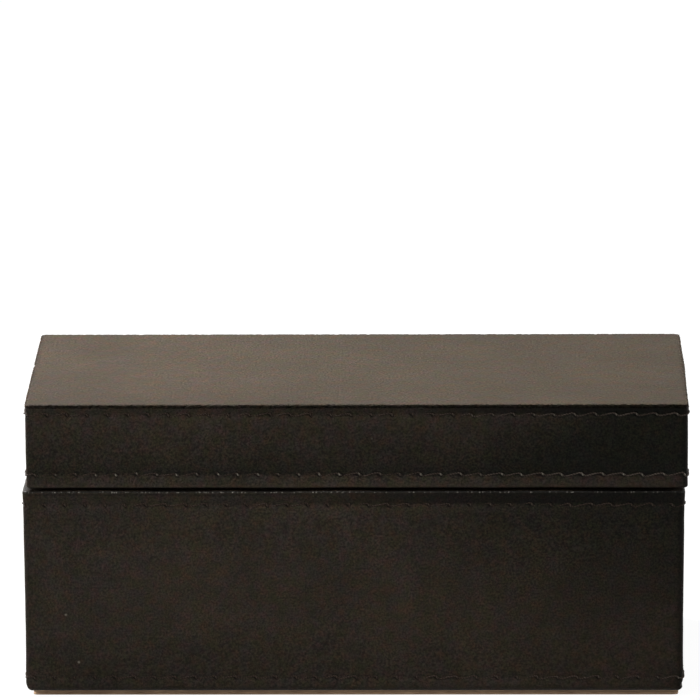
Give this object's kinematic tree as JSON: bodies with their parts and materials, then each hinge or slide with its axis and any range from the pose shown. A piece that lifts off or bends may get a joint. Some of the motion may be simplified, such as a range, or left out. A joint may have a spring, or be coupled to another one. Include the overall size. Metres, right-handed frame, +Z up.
{
  "type": "stationery box",
  "caption": "Long leather-covered box for letters and papers, with a lift-off lid that drops over a suede-covered neck and hand-sewn seams right round it.",
  "frame": {"origin": "middle of the footprint on the table: the bounding box's bottom centre, with the lid at rest on the base", "axes": "+X to the right along the width, +Y from the front to the back, +Z up"},
  "size_m": [0.2612, 0.108, 0.12],
  "materials": {
    "cover_leather": "dark brown smooth hide, semi-matt, waxed",
    "sole_leather": "tan vegetable leather, raw cut edges",
    "suede_lining": "brown suede, short nap",
    "grey_board": "dense bookbinder's board, matt",
    "filler_card": "plain card, matt",
    "waxed_thread": "waxed dark brown linen thread"
  },
  "bodies": {
    "base": {"base_floor_board": "grey_board", "base_front_board": "grey_board", "base_back_board": "grey_board", "base_left_board": "grey_board", "base_right_board": "grey_board", "base_leather_band": "cover_leather", "base_filler_card": "filler_card", "base_floor_pad": "suede_lining", "sole_inner_ply": "sole_leather", "sole_outer_ply": "sole_leather", "neck_front_board": "grey_board", "neck_back_board": "grey_board", "neck_left_board": "grey_board", "neck_right_board": "grey_board", "neck_suede_cover": "suede_lining"},
    "lid": {"lid_top_board": "grey_board", "lid_front_board": "grey_board", "lid_back_board": "grey_board", "lid_left_board": "grey_board", "lid_right_board": "grey_board", "lid_leather_band": "cover_leather", "lid_top_sheet": "cover_leather", "lid_ceiling_lining": "suede_lining", "lid_front_lining": "suede_lining", "lid_back_lining": "suede_lining", "lid_left_lining": "suede_lining", "lid_right_lining": "suede_lining"}
  },
  "joints": [
    {"name": "lid_lift", "type": "slide", "parent": "base", "child": "lid", "axis": [0, 0, 1], "range_m": [0, 0.08]}
  ]
}
